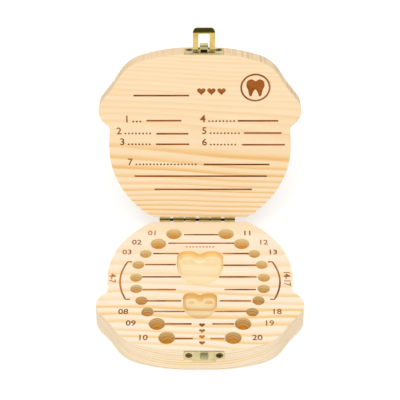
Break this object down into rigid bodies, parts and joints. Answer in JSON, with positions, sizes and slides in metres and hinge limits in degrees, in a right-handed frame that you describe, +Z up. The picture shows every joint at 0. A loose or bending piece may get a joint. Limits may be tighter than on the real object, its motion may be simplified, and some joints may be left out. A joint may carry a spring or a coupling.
{
  "type": "baby tooth box",
  "caption": "Flat wooden keepsake box in the outline of a child's head: a hinged lid with a snap catch over round pockets for milk teeth and two heart-shaped hollows.",
  "frame": {"origin": "middle of the base's underside: half way across it and half way from chin to crown", "axes": "+Z up, +X to the right of a person who opens the catch, +Y from the catch towards the hinge; the lid stands open"},
  "size_m": [0.1252, 0.1536, 0.1431],
  "materials": {
    "base_wood": "sanded, unvarnished pine",
    "lid_wood": "sanded, unvarnished pine",
    "brass_plating": "bright plated, lightly brushed",
    "pin_steel": "drawn wire and spring strip"
  },
  "bodies": {
    "base": {"base_block": "base_wood", "hinge_base_leaf": "brass_plating", "hinge_pin": "pin_steel", "hinge_base_screws": "brass_plating", "catch_plate": "brass_plating", "catch_screws": "brass_plating"},
    "lid": {"lid_board": "lid_wood", "hinge_lid_leaf": "brass_plating", "hinge_lid_screws": "brass_plating", "latch_plate": "brass_plating", "latch_spring": "pin_steel", "latch_screws": "brass_plating"},
    "hoop": {"latch_flap": "brass_plating", "latch_pin": "pin_steel"}
  },
  "joints": [
    {"name": "lid_hinge", "type": "hinge", "parent": "base", "child": "lid", "pos_m": [0, 0.05835, 0.01715], "axis": [-1, 0, 0], "range_deg": [-102, 78]},
    {"name": "hoop_hinge", "type": "hinge", "parent": "lid", "child": "hoop", "pos_m": [0.0024, 0.08696, 0.13033], "axis": [-1, 0, 0], "range_deg": [-90, 20]}
  ]
}
